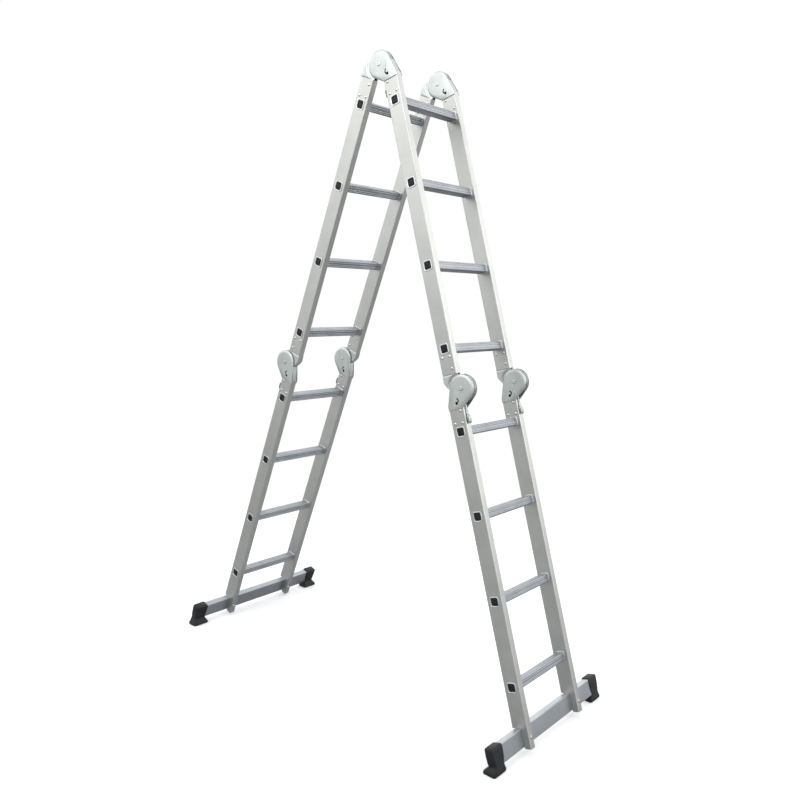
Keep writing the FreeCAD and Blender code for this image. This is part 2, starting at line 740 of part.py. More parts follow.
def make_section(name, leg, drop, stile):
    """Stiles, rungs, plugs and rivets of one section."""
    upper = stile is upper_stile
    centreline = f"{leg} * pivot_offset"
    turn = ABOUT_Z if upper and leg == -1 else NO_TURN
    for side, way in (("left", -1), ("right", 1)):
        piece = linked(stile, f"{way} * {STILE_X}", centreline, f"- {drop}", turn)
        sub_part(f"{name}_{side}_stile", [piece], leg)

    plugs = []
    for number in range(int(value("section_rungs"))):
        height = f"- {drop} - pivot_to_rung - {number} * rung_pitch"
        sub_part(f"{name}_rung_{number + 1}", [linked(rung, "0", centreline, height)], leg)
        mouth = "( ladder_width / 2 + rim_proud )"
        plugs.append(linked(rung_plug, f"- {mouth}", centreline, height))
        plugs.append(linked(rung_plug, mouth, centreline, height, ABOUT_Z))
    sub_part(f"{name}_rung_plugs", plugs, leg)

    # Rivets follow the hinge axis's side: outside the A at the middle, inside it at the top.
    ends = [(-leg if upper else leg, drop, "-1")]
    if upper:
        ends.append((leg, f"{drop} + {SECTION}", "1"))
    rivets = []
    for side, pivot, way in ends:
        for across, up in rivet_places(str(side), f"- ( {pivot} )", way):
            rivets += both_sides(rivet, f"{centreline} + {across}", up)
    sub_part(f"{name}_rivets", rivets, leg)


for section in SECTIONS:
    make_section(*section)


# Hinge lines: name, leg and turn of the covers, leg and turn of the knuckles, axis (y, z).
MIDDLE_Y = "2 * pivot_offset"
sub_part("top_hinge_covers", both_sides(cover_pair, "0", "0", ABOUT_Z), -1)
sub_part("top_hinge_knuckles", both_sides(knuckle_pair, "0", "0"), 1)
sub_part("front_hinge_covers", both_sides(cover_pair, f"- {MIDDLE_Y}", f"- {SECTION}"), -1)
sub_part("front_hinge_knuckles",
         both_sides(knuckle_pair, f"- {MIDDLE_Y}", f"- {SECTION}", ABOUT_Y), -1)
sub_part("back_hinge_covers", both_sides(cover_pair, MIDDLE_Y, f"- {SECTION}", ABOUT_Z), 1)
sub_part("back_hinge_knuckles", both_sides(knuckle_pair, MIDDLE_Y, f"- {SECTION}", ABOUT_X), 1)
sub_part("front_hinge_axles",
         both_sides(axle, "0", "0") + both_sides(axle, f"- {MIDDLE_Y}", f"- {SECTION}"), -1)
sub_part("back_hinge_axles", both_sides(axle, MIDDLE_Y, f"- {SECTION}"), 1)

LOCKS = [
    ("top", -1, "0", "0", ABOUT_Z),
    ("front", -1, f"- {MIDDLE_Y}", f"- {SECTION}", NO_TURN),
    ("back", 1, MIDDLE_Y, f"- {SECTION}", ABOUT_Z),
]
for name, leg, deep, up, turn in LOCKS:
    for side, way in (("left", -1), ("right", 1)):
        place = (f"{way} * {STILE_X}", deep, up, turn)
        sub_part(f"{name}_{side}_release_lever", [linked(release_lever, *place)], leg)
        sub_part(f"{name}_{side}_lock_pin", [linked(lock_pin, *place)], leg)

FEET = [("front", -1, "front_bar_offset", front_boot), ("back", 1, "back_bar_offset", back_boot)]
for name, leg, offset, boot in FEET:
    middle = f"{leg} * {offset}"
    sub_part(f"{name}_stabiliser_bar", [linked(bar, "0", middle, "- bar_down")], leg)
    face = f"{leg} * pivot_offset - stile_depth / 2"
    sub_part(f"{name}_bar_bolts", both_sides(bar_bolt, face, "- bar_down"), leg)
    floor_y = f"{APEX_SHIFT} + {leg} * ( bar_down * sin ( lean ) + {offset} * cos ( lean ) )"
    floor_z = f"pivot_height - bar_down * cos ( lean ) + {offset} * sin ( lean )"
    for side, piece in (("left", boot), ("right", mirrored(boot))):
        sub_part(f"{name}_{side}_boot", [linked(piece, "0", floor_y, floor_z)])

# --------------------------------------------------------------------------------------------
# Check everything, then write one file for each sub-part
# --------------------------------------------------------------------------------------------

doc.recompute()
for thing in doc.Objects:
    if "Invalid" in thing.State or "Error" in thing.State:
        raise RuntimeError(f"{thing.Name} failed: {thing.State}")
for part in sub_parts:
    if part.Shape.isNull() or not part.Shape.isValid():
        raise RuntimeError(f"{part.Label} has no valid shape")

os.makedirs("parts", exist_ok=True)
for part in sub_parts:
    part.Shape.exportStep(f"parts/{part.Label}.step")
print(f"{len(sub_parts)} sub-parts written")
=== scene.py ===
import json
import math

import bmesh
import bpy
from mathutils import Matrix, Quaternion, Vector, geometry


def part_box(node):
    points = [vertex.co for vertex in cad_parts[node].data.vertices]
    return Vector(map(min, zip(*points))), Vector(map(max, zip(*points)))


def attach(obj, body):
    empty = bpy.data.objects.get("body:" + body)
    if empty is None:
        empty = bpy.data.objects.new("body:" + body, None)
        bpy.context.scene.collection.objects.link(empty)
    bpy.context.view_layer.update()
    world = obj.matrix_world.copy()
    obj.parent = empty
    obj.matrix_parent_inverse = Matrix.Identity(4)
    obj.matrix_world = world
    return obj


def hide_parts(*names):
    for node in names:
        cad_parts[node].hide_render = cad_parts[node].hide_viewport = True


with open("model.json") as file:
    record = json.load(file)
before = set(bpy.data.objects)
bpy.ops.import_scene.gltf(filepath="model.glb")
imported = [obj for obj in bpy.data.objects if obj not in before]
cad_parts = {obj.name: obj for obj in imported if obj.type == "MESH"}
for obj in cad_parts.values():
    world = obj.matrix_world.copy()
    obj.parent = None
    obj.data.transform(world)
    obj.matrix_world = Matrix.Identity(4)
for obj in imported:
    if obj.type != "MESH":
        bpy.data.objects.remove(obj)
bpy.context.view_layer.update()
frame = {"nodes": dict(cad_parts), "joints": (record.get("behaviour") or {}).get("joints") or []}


# --------------------------------------------------------------------------------------------
# Camera: at standing eye height off the front left corner, looking a little down and rolled a
# few degrees to one side.
# --------------------------------------------------------------------------------------------

lens = bpy.data.cameras.new("camera")
lens.sensor_width = 36.0
lens.lens = 36.436
lens.shift_x = 0.0331
lens.shift_y = 0.0321
lens.clip_start = 0.05
lens.clip_end = 60.0
camera = bpy.data.objects.new("camera", lens)
bpy.context.scene.collection.objects.link(camera)
bpy.context.scene.camera = camera
heading, tilt, roll = math.radians(49.374), math.radians(-10.335), math.radians(2.741)
look = Vector((math.cos(tilt) * math.sin(heading), math.cos(tilt) * math.cos(heading),
               math.sin(tilt)))
camera.rotation_mode = "QUATERNION"
camera.rotation_quaternion = look.to_track_quat("-Z", "Y") @ Quaternion((0, 0, 1), roll)
camera.location = (-2.3259, -1.9044, 1.4838)


# --------------------------------------------------------------------------------------------
# Studio: a white sweep underfoot, a white room around it, and soft boxes. The big one hangs high
# on the left, so the stiles are brightest near the top.
# --------------------------------------------------------------------------------------------

bpy.context.scene.view_settings.view_transform = "Standard"

room = bpy.data.worlds.new("white_room")
bpy.context.scene.world = room
room.use_nodes = True
nodes, links = room.node_tree.nodes, room.node_tree.links
nodes.clear()
toward = nodes.new("ShaderNodeTexCoord")
height = nodes.new("ShaderNodeSeparateXYZ")
links.new(toward.outputs["Generated"], height.inputs[0])
wall = nodes.new("ShaderNodeValToRGB")
wall.color_ramp.elements[0].position = 0.34
wall.color_ramp.elements[0].color = (0.17, 0.17, 0.175, 1)
wall.color_ramp.elements[1].position = 0.92
wall.color_ramp.elements[1].color = (0.36, 0.37, 0.38, 1)
for position, brightness in ((0.50, 0.38), (0.56, 0.60), (0.66, 0.97)):
    level = wall.color_ramp.elements.new(position)
    level.color = (brightness, brightness, brightness, 1)
lift = nodes.new("ShaderNodeMapRange")
lift.inputs["From Min"].default_value = -1.0
lift.inputs["From Max"].default_value = 1.0
links.new(height.outputs["Z"], lift.inputs["Value"])
links.new(lift.outputs["Result"], wall.inputs["Fac"])
around = nodes.new("ShaderNodeBackground")
around.inputs["Strength"].default_value = 2.35
links.new(wall.outputs["Color"], around.inputs["Color"])
backdrop = nodes.new("ShaderNodeBackground")
backdrop.inputs["Color"].default_value = (1.0, 1.0, 1.0, 1)
seen = nodes.new("ShaderNodeLightPath")
choose = nodes.new("ShaderNodeMixShader")
links.new(seen.outputs["Is Camera Ray"], choose.inputs["Fac"])
links.new(around.outputs[0], choose.inputs[1])
links.new(backdrop.outputs[0], choose.inputs[2])
world_out = nodes.new("ShaderNodeOutputWorld")
links.new(choose.outputs[0], world_out.inputs["Surface"])

sweep = bmesh.new()
bmesh.ops.create_circle(sweep, cap_ends=True, segments=96, radius=3.0)
floor_mesh = bpy.data.meshes.new("floor")
sweep.to_mesh(floor_mesh)
sweep.free()
floor = bpy.data.objects.new("floor", floor_mesh)
floor_mesh.transform(Matrix.Translation((0, 0, -0.0005)))
bpy.context.scene.collection.objects.link(floor)
paint = bpy.data.materials.new("floor_paint")
paint.use_nodes = True
nodes, links = paint.node_tree.nodes, paint.node_tree.links
pale = nodes["Principled BSDF"]
pale.inputs["Base Color"].default_value = (0.93, 0.93, 0.93, 1)
pale.inputs["Roughness"].default_value = 0.9
pale.inputs["Specular IOR Level"].default_value = 0.0
bounced = nodes.new("ShaderNodeBsdfDiffuse")
bounced.inputs["Color"].default_value = (0.34, 0.34, 0.345, 1)
seen = nodes.new("ShaderNodeLightPath")
either = nodes.new("ShaderNodeMixShader")
links.new(seen.outputs["Is Camera Ray"], either.inputs["Fac"])
links.new(bounced.outputs[0], either.inputs[1])
links.new(pale.outputs[0], either.inputs[2])
spot = nodes.new("ShaderNodeTexCoord")
away = nodes.new("ShaderNodeVectorMath")
away.operation = "LENGTH"
links.new(spot.outputs["Object"], away.inputs[0])
fade = nodes.new("ShaderNodeMapRange")
fade.interpolation_type = "SMOOTHSTEP"
fade.inputs["From Min"].default_value = 1.2
fade.inputs["From Max"].default_value = 2.8
links.new(away.outputs["Value"], fade.inputs["Value"])
clear = nodes.new("ShaderNodeBsdfTransparent")
blend = nodes.new("ShaderNodeMixShader")
links.new(fade.outputs["Result"], blend.inputs["Fac"])
links.new(either.outputs[0], blend.inputs[1])
links.new(clear.outputs[0], blend.inputs[2])
links.new(blend.outputs[0], nodes["Material Output"].inputs["Surface"])
floor_mesh.materials.append(paint)


def soft_box(name, place, target, width, tall, watts):
    """A rectangular light aimed at a point."""
    panel = bpy.data.lights.new(name, "AREA")
    panel.shape = "RECTANGLE"
    panel.size, panel.size_y, panel.energy = width, tall, watts
    holder = bpy.data.objects.new(name, panel)
    holder.location = place
    holder.rotation_mode = "QUATERNION"
    holder.rotation_quaternion = (Vector(target) - Vector(place)).to_track_quat("-Z", "Y")
    bpy.context.scene.collection.objects.link(holder)


soft_box("high_left_box", (-2.6, 0.3, 3.3), (0, 0, 1.7), 1.6, 1.6, 30)
soft_box("front_box", (1.2, -3.6, 2.6), (0, 0, 1.0), 2.2, 2.2, 30)
soft_box("top_box", (0.3, 0.4, 4.6), (0, 0, 0.5), 3.0, 3.0, 20)


# --------------------------------------------------------------------------------------------
# Stiles: eight lengths of rectangular aluminium tube with a satin mill finish, pierced for the
# rungs. The die leaves fine lines along them, and handling leaves scuffs and bright edges.
# --------------------------------------------------------------------------------------------

joints = {joint["name"]: joint for joint in frame["joints"]}
APEX = Vector(joints["top_fold"]["pos_m"])
SIDES = (("left", -1), ("right", 1))
right_stile_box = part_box("upper_front_right_stile")
STILE_X = (right_stile_box[0].x + right_stile_box[1].x) / 2


def leg_turn(leg):
    """The rotation from a leg hanging straight down to the leg as it leans."""
    up = -Vector(joints[f"{leg}_left_release"]["axis"])
    along_rungs = Vector((1, 0, 0))
    return Matrix((along_rungs, up.cross(along_rungs), up)).transposed().to_4x4()


def leg_lean(leg):
    return leg_turn(leg).to_euler().x


def new_group(name, inputs, outputs):
    """An empty shader node group with named sockets."""
    group = bpy.data.node_groups.new(name, "ShaderNodeTree")
    for label, kind, default in inputs:
        socket = group.interface.new_socket(label, in_out="INPUT", socket_type=kind)
        if default is not None:
            socket.default_value = default
    for label, kind in outputs:
        group.interface.new_socket(label, in_out="OUTPUT", socket_type=kind)
    return group, group.nodes.new("NodeGroupInput"), group.nodes.new("NodeGroupOutput")


def grain_group():
    """Fine lines drawn along the piece's Z, with slow mottling and short scuffs across."""
    group, given, made = new_group("drawn_grain", [
        ("Vector", "NodeSocketVector", None), ("Line Scale", "NodeSocketFloat", 900.0),
        ("Mottle Scale", "NodeSocketFloat", 9.0)],
        [("Lines", "NodeSocketFloat"), ("Mottle", "NodeSocketFloat"), ("Scuffs", "NodeSocketFloat")])
    add, link = group.nodes.new, group.links.new
    squash = add("ShaderNodeVectorMath")
    squash.operation = "MULTIPLY"
    squash.inputs[1].default_value = (1, 1, 0.012)
    link(given.outputs["Vector"], squash.inputs[0])
    lines = add("ShaderNodeTexNoise")
    lines.inputs["Detail"].default_value = 3.0
    link(squash.outputs[0], lines.inputs["Vector"])
    link(given.outputs["Line Scale"], lines.inputs["Scale"])
    mottle = add("ShaderNodeTexNoise")
    mottle.inputs["Detail"].default_value = 4.0
    mottle.inputs["Roughness"].default_value = 0.62
    link(given.outputs["Vector"], mottle.inputs["Vector"])
    link(given.outputs["Mottle Scale"], mottle.inputs["Scale"])
    slant = add("ShaderNodeMapping")
    slant.inputs["Rotation"].default_value = (0.5, 0.7, 0.3)
    slant.inputs["Scale"].default_value = (190, 190, 16)
    link(given.outputs["Vector"], slant.inputs["Vector"])
    scratches = add("ShaderNodeTexNoise")
    scratches.inputs["Scale"].default_value = 1.0
    scratches.inputs["Detail"].default_value = 1.0
    link(slant.outputs[0], scratches.inputs["Vector"])
    few = add("ShaderNodeMapRange")
    few.inputs["From Min"].default_value = 0.68
    few.inputs["From Max"].default_value = 0.78
    link(scratches.outputs["Fac"], few.inputs["Value"])
    link(lines.outputs["Fac"], made.inputs["Lines"])
    link(mottle.outputs["Fac"], made.inputs["Mottle"])
    link(few.outputs["Result"], made.inputs["Scuffs"])
    return group


def edge_group():
    """How close the surface is to a corner, from the angle to a rounded normal."""
    group, given, made = new_group("edge_wear", [("Reach", "NodeSocketFloat", 0.0015),
                                                 ("Breakup", "NodeSocketFloat", 0.5)],
                                   [("Wear", "NodeSocketFloat"), ("Soft Normal", "NodeSocketVector")])
    add, link = group.nodes.new, group.links.new
    rounded = add("ShaderNodeBevel")
    rounded.samples = 4
    link(given.outputs["Reach"], rounded.inputs["Radius"])
    surface = add("ShaderNodeNewGeometry")
    agree = add("ShaderNodeVectorMath")
    agree.operation = "DOT_PRODUCT"
    link(rounded.outputs[0], agree.inputs[0])
    link(surface.outputs["Normal"], agree.inputs[1])
    near = add("ShaderNodeMapRange")
    near.inputs["From Min"].default_value = 0.995
    near.inputs["From Max"].default_value = 0.90
    link(agree.outputs["Value"], near.inputs["Value"])
    worn = add("ShaderNodeMath")
    worn.operation = "MULTIPLY"
    link(near.outputs["Result"], worn.inputs[0])
    link(given.outputs["Breakup"], worn.inputs[1])
    link(worn.outputs[0], made.inputs["Wear"])
    link(rounded.outputs[0], made.inputs["Soft Normal"])
    return group


GRAIN, EDGE = grain_group(), edge_group()


def metal_finish(name, dull, bright, worn, roughness, turn=(0.0, 0.0, 0.0), reach=0.0015,
                 line_scale=900.0, mottle_scale=9.0, relief=0.02):
    """Bare metal: drawn lines, mottled colour, brighter worn corners and dull scuffs."""
    material = bpy.data.materials.new(name)
    material.use_nodes = True
    tree = material.node_tree
    add, link = tree.nodes.new, tree.links.new
    shader = tree.nodes["Principled BSDF"]
    shader.inputs["Metallic"].default_value = 1.0
    place = add("ShaderNodeTexCoord")
    turned = add("ShaderNodeMapping")
    turned.inputs["Rotation"].default_value = turn
    link(place.outputs["Object"], turned.inputs["Vector"])
    grain = add("ShaderNodeGroup")
    grain.node_tree = GRAIN
    grain.inputs["Line Scale"].default_value = line_scale
    grain.inputs["Mottle Scale"].default_value = mottle_scale
    link(turned.outputs[0], grain.inputs["Vector"])
    edge = add("ShaderNodeGroup")
    edge.node_tree = EDGE
    edge.inputs["Reach"].default_value = reach
    link(grain.outputs["Mottle"], edge.inputs["Breakup"])

    tone = add("ShaderNodeMapRange")
    tone.inputs["From Min"].default_value = 0.3
    tone.inputs["From Max"].default_value = 0.7
    link(grain.outputs["Mottle"], tone.inputs["Value"])
    base = add("ShaderNodeMix")
    base.data_type = "RGBA"
    base.inputs["A"].default_value = (*dull, 1)
    base.inputs["B"].default_value = (*bright, 1)
    link(tone.outputs["Result"], base.inputs["Factor"])
    rubbed = add("ShaderNodeMix")
    rubbed.data_type = "RGBA"
    rubbed.inputs["B"].default_value = (*worn, 1)
    link(base.outputs["Result"], rubbed.inputs["A"])
    link(edge.outputs["Wear"], rubbed.inputs["Factor"])
    link(rubbed.outputs["Result"], shader.inputs["Base Color"])

    haze = add("ShaderNodeMapRange")
    haze.inputs["From Min"].default_value = 0.25
    haze.inputs["From Max"].default_value = 0.75
    haze.inputs["To Min"].default_value = roughness - 0.06
    haze.inputs["To Max"].default_value = roughness + 0.06
    link(grain.outputs["Lines"], haze.inputs["Value"])
    scuffed = add("ShaderNodeMath")
    scuffed.operation = "MULTIPLY_ADD"
    scuffed.inputs[1].default_value = 0.16
    link(grain.outputs["Scuffs"], scuffed.inputs[0])
    link(haze.outputs["Result"], scuffed.inputs[2])
    link(scuffed.outputs[0], shader.inputs["Roughness"])
    ridges = add("ShaderNodeBump")
    ridges.inputs["Strength"].default_value = relief
    ridges.inputs["Distance"].default_value = 0.0003
    link(grain.outputs["Lines"], ridges.inputs["Height"])
    link(edge.outputs["Soft Normal"], ridges.inputs["Normal"])
    link(ridges.outputs[0], shader.inputs["Normal"])
    return material


STILE_FINISH = {
    leg: metal_finish(f"{leg}_stile_aluminium", (0.440, 0.450, 0.432), (0.500, 0.510, 0.492),
                      (0.72, 0.72, 0.72), 0.40, turn=(-leg_lean(leg), 0, 0))
    for leg in ("front", "back")}
SECTIONS = ("upper_front", "lower_front", "upper_back", "lower_back")


def dress(node, material):
    """Give a carried-over node its finish."""
    mesh = frame["nodes"][node].data
    mesh.materials.clear()
    mesh.materials.append(material)


for section in SECTIONS:
    for side, way in SIDES:
        dress(f"{section}_{side}_stile", STILE_FINISH[section.split("_")[1]])


# --------------------------------------------------------------------------------------------
# Rungs: sixteen square aluminium tubes, ribbed along every face for grip. Each end goes through
# both walls of a stile, and is swaged into a collar inside and a flared rim outside.
# --------------------------------------------------------------------------------------------

RUNG_FINISH = metal_finish("rung_aluminium", (0.27, 0.290, 0.310), (0.33, 0.350, 0.370),
                           (0.66, 0.67, 0.69), 0.36, turn=(0, math.pi / 2, 0), relief=0.012)
RIM_FINISH = metal_finish("rim_aluminium", (0.62, 0.63, 0.64), (0.72, 0.73, 0.74),
                          (0.85, 0.85, 0.85), 0.24, mottle_scale=60)
RUNG_HALF, RUNG_CORNER, RUNG_CLEAR = 0.015, 0.005, 0.0002
# Across one face: rib edges, and whether each point lies in a groove.
RIB_STEPS = ((-0.0100, 0), (-0.0092, 0), (-0.0086, 1), (-0.0058, 1), (-0.0052, 0), (-0.0036, 0),
             (-0.0030, 1), (0.0030, 1), (0.0036, 0), (0.0052, 0), (0.0058, 1), (0.0086, 1),
             (0.0092, 0), (0.0100, 0))
GROOVE_DEPTH = 0.0010
STILE_FACE = right_stile_box[1].x
STILE_INSIDE = right_stile_box[0].x


def finished(shape, name, body, material, place=None, replaces=(), crease=32):
    """Turn a bmesh into a named piece of the ladder, set in place and riding its body."""
    if place is not None:
        bmesh.ops.transform(shape, matrix=place, verts=shape.verts)
    bmesh.ops.recalc_face_normals(shape, faces=shape.faces)
    mesh = bpy.data.meshes.new(name)
    shape.to_mesh(mesh)
    shape.free()
    mesh.shade_smooth()
    mesh.set_sharp_from_angle(angle=math.radians(crease))
    mesh.materials.append(material)
    piece = bpy.data.objects.new(name, mesh)
    bpy.context.scene.collection.objects.link(piece)
    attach(piece, body)
    if replaces:
        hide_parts(*replaces)
    return piece


def outline_face(shape, points, x):
    """One flat face across x through (y, z) corners."""
    return shape.faces.new([shape.verts.new((x, y, z)) for y, z in points])


def extrude_faces(shape, faces, move):
    """Extrude faces by a vector and return the new end faces."""
    out = bmesh.ops.extrude_face_region(shape, geom=faces)["geom"]
    bmesh.ops.translate(shape, vec=move, verts=[v for v in out if isinstance(v, bmesh.types.BMVert)])
    return [f for f in out if isinstance(f, bmesh.types.BMFace)]


def rounded_square(half, corner, steps=4):
    """Corner points of a square with rounded corners, anticlockwise."""
    points = []
    for quarter in range(4):
        start = quarter * math.pi / 2
        centre = Vector((half - corner, half - corner))
        centre.rotate(Matrix.Rotation(start, 2))
        for step in range(steps + 1):
            angle = start + step / steps * math.pi / 2
            points.append((centre.x + corner * math.cos(angle), centre.y + corner * math.sin(angle)))
    return points


def rung_shape():
    """A ribbed bar, with a swaged collar against each stile and a flared rim outside it."""
    shape = bmesh.new()
    points = []
    for quarter in range(4):
        spin = Matrix.Rotation(quarter * math.pi / 2, 2)
        for across, sunk in RIB_STEPS:
            points.append(spin @ Vector((RUNG_HALF - sunk * GROOVE_DEPTH, across)))
        for bend in (0.25, 0.5, 0.75):
            angle = bend * math.pi / 2
            flat = RUNG_HALF - RUNG_CORNER
            points.append(spin @ Vector((flat + RUNG_CORNER * math.cos(angle),
                                         flat + RUNG_CORNER * math.sin(angle))))
    inner = STILE_INSIDE - RUNG_CLEAR
    bar = outline_face(shape, points, -inner)
    extrude_faces(shape, [bar], (2 * inner, 0, 0))
    return shape


COLLAR_HALF, COLLAR_CORNER, COLLAR_THICK = 0.0170, 0.0065, 0.0030
# The rolled rim from its outer foot over the top to the bore: half width, and height proud.
RIM_ROLL = ((0.0166, 0.0), (0.0172, 0.0008), (0.0166, 0.0017), (0.0150, 0.0020), (0.0136, 0.0015),
            (0.0130, 0.0))
RIM_CORNER_SHARE = 0.0066 / 0.0168


def swage_shape(way):
    """Collar on the stile's inner wall and the rolled rim on its outer wall, at one end."""
    shape = bmesh.new()
    collar = outline_face(shape, rounded_square(COLLAR_HALF, COLLAR_CORNER),
                          way * (STILE_INSIDE - COLLAR_THICK))
    extrude_faces(shape, [collar], (way * COLLAR_THICK, 0, 0))
    rings = []
    for half, proud in RIM_ROLL:
        ring = [shape.verts.new((way * (STILE_FACE + proud), y, z))
                for y, z in rounded_square(half, half * RIM_CORNER_SHARE)]
        rings.append([shape.edges.new((ring[i - 1], ring[i])) for i in range(len(ring))])
    for outer, inner in zip(rings, rings[1:]):
        bmesh.ops.bridge_loops(shape, edges=outer + inner)
    return shape


def in_leg(leg, deep, down, across=0.0):
    """Where a point of the straight leg stands: across x, deep from its top hinge, down the leg."""
    turn = leg_turn(leg)
    return Matrix.Translation(APEX + turn.to_3x3() @ Vector((across, deep, -down))) @ turn


def middle_of(node):
    low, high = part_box(node)
    return (low + high) / 2


for section in SECTIONS:
    leg = section.split("_")[1]
    for number in (1, 2, 3, 4):
        node = f"{section}_rung_{number}"
        place = Matrix.Translation(middle_of(node)) @ leg_turn(leg)
        finished(rung_shape(), f"{section}_rung_{number}_bar", section,
                 RUNG_FINISH, place, [node])
        for side, way in SIDES:
            finished(swage_shape(way), f"{section}_rung_{number}_{side}_swage", section,
                     RIM_FINISH, place)


# --------------------------------------------------------------------------------------------
# Rung plugs: black moulded plastic, pushed into both ends of every rung. Each has a raised
# square pad.
# --------------------------------------------------------------------------------------------

def moulded_finish(name, base, dusty, roughness, dust_scale=40.0, relief=0.25, pebble=900.0):
    """Moulded black rubber or plastic: fine pebbled skin and pale dust in patches."""
    material = bpy.data.materials.new(name)
    material.use_nodes = True
    tree = material.node_tree
    add, link = tree.nodes.new, tree.links.new
    shader = tree.nodes["Principled BSDF"]
    shader.inputs["Specular IOR Level"].default_value = 0.28
    place = add("ShaderNodeTexCoord")
    dust = add("ShaderNodeTexNoise")
    dust.inputs["Scale"].default_value = dust_scale
    dust.inputs["Detail"].default_value = 6.0
    link(place.outputs["Object"], dust.inputs["Vector"])
    amount = add("ShaderNodeMapRange")
    amount.inputs["From Min"].default_value = 0.42
    amount.inputs["From Max"].default_value = 0.78
    link(dust.outputs["Fac"], amount.inputs["Value"])
    edge = add("ShaderNodeGroup")
    edge.node_tree = EDGE
    edge.inputs["Reach"].default_value = 0.002
    edge.inputs["Breakup"].default_value = 0.35
    total = add("ShaderNodeMath")
    total.operation = "MAXIMUM"
    link(amount.outputs["Result"], total.inputs[0])
    link(edge.outputs["Wear"], total.inputs[1])
    tint = add("ShaderNodeMix")
    tint.data_type = "RGBA"
    tint.inputs["A"].default_value = (*base, 1)
    tint.inputs["B"].default_value = (*dusty, 1)
    link(total.outputs[0], tint.inputs["Factor"])
    link(tint.outputs["Result"], shader.inputs["Base Color"])
    matt = add("ShaderNodeMapRange")
    matt.inputs["To Min"].default_value = roughness
    matt.inputs["To Max"].default_value = roughness + 0.2
    link(total.outputs[0], matt.inputs["Value"])
    link(matt.outputs["Result"], shader.inputs["Roughness"])
    skin = add("ShaderNodeTexVoronoi")
    skin.inputs["Scale"].default_value = pebble
    link(place.outputs["Object"], skin.inputs["Vector"])
    bump = add("ShaderNodeBump")
    bump.inputs["Strength"].default_value = relief
    bump.inputs["Distance"].default_value = 0.0002
    link(skin.outputs["Distance"], bump.inputs["Height"])
    link(edge.outputs["Soft Normal"], bump.inputs["Normal"])
    link(bump.outputs[0], shader.inputs["Normal"])
    return material


PLUG_FINISH = moulded_finish("plug_plastic", (0.004, 0.004, 0.005), (0.016, 0.016, 0.018), 0.40)


PLUG_HALF, PLUG_CORNER, PLUG_DEEP, PLUG_LONG = 0.0130, 0.0052, 0.006, 0.0064
# From the plug's edge to its middle: width of each step of the face, and how far it rises.
PLUG_STEPS = ((0.0022, 0.0006), (0.0030, 0.0), (0.0006, -0.0008))


def plug_shape(way):
    shape = bmesh.new()
    back = outline_face(shape, rounded_square(PLUG_HALF, PLUG_CORNER),
                        way * (STILE_FACE - PLUG_DEEP))
    front = extrude_faces(shape, [back], (way * PLUG_LONG, 0, 0))
    for wide, rise in PLUG_STEPS:
        bmesh.ops.inset_region(shape, faces=front, thickness=wide, depth=rise)
    return shape


def add_copy(target, source, place):
    """Add a placed copy of one bmesh to another."""
    mesh = bpy.data.meshes.new("copy")
    source.to_mesh(mesh)
    mesh.transform(place)
    target.from_mesh(mesh)
    bpy.data.meshes.remove(mesh)


for section in SECTIONS:
    leg = section.split("_")[1]
    plugs = bmesh.new()
    for number in (1, 2, 3, 4):
        place = Matrix.Translation(middle_of(f"{section}_rung_{number}")) @ leg_turn(leg)
        for side, way in SIDES:
            plug = plug_shape(way)
            add_copy(plugs, plug, place)
            plug.free()
    finished(plugs, f"{section}_plugs", section, PLUG_FINISH,
             replaces=[f"{section}_rung_plugs"])


# --------------------------------------------------------------------------------------------
# Rivets: domed steel, zinc plated, three at each hinge end of a stile. They go through the
# stile and the hinge plates inside it, with a dome outside each wall.
# --------------------------------------------------------------------------------------------

FASTENER_FINISH = metal_finish("fastener_steel", (0.48, 0.49, 0.48), (0.58, 0.59, 0.58),
                               (0.75, 0.75, 0.75), 0.22, mottle_scale=120, relief=0.0)
STILE_HALF = (STILE_FACE - STILE_INSIDE) / 2
RIVET_HEAD, RIVET_DOME = 0.0052, 0.0024
# From a hinge's axle across to the stile's middle line, then each rivet's place: across from
# that line, and down from the axle.
STILE_OFFSET = 0.035
RIVET_PLACES = ((-0.015, 0.070), (-0.015, 0.110), (0.015, 0.110))


def turned(shape, stations, segments=32):
    """Spin (x, radius) stations about the x axis, closed on the axis at both ends."""
    line = [shape.verts.new((x, 0, radius)) for x, radius in stations]
    edges = [shape.edges.new(pair) for pair in zip(line, line[1:])]
    bmesh.ops.spin(shape, geom=line + edges, cent=(0, 0, 0), axis=(1, 0, 0),
                   angle=2 * math.pi, steps=segments, use_merge=True, use_duplicate=False)
    bmesh.ops.remove_doubles(shape, verts=shape.verts, dist=1e-6)


def dome(base, radius, tall, way=1, steps=6):
    """(x, radius) stations of a shallow dome standing on x = base."""
    return [(base + way * tall * math.sin(step / steps * math.pi / 2),
             radius * math.cos(step / steps * math.pi / 2)) for step in range(steps + 1)]


def rivet_shape():
    shape = bmesh.new()
    left = dome(-STILE_HALF, RIVET_HEAD, RIVET_DOME, way=-1)[::-1]
    turned(shape, left + dome(STILE_HALF, RIVET_HEAD, RIVET_DOME))
    return shape


HALF_TURN = {axis: Matrix.Rotation(math.pi, 4, axis) for axis in "XYZ"}
STRAIGHT = Matrix.Identity(4)
# Each hinge line: its axis, then the leg, body and turn of the cover plates, and of the knuckles.
HINGES = {
    "top": (APEX, ("front", "upper_front", HALF_TURN["Z"]), ("back", "upper_back", STRAIGHT)),
    "front": (Vector(joints["front_fold"]["pos_m"]), ("front", "lower_front", STRAIGHT),
              ("front", "upper_front", HALF_TURN["Y"])),
    "back": (Vector(joints["back_fold"]["pos_m"]), ("back", "lower_back", HALF_TURN["Z"]),
             ("back", "upper_back", HALF_TURN["X"])),
}


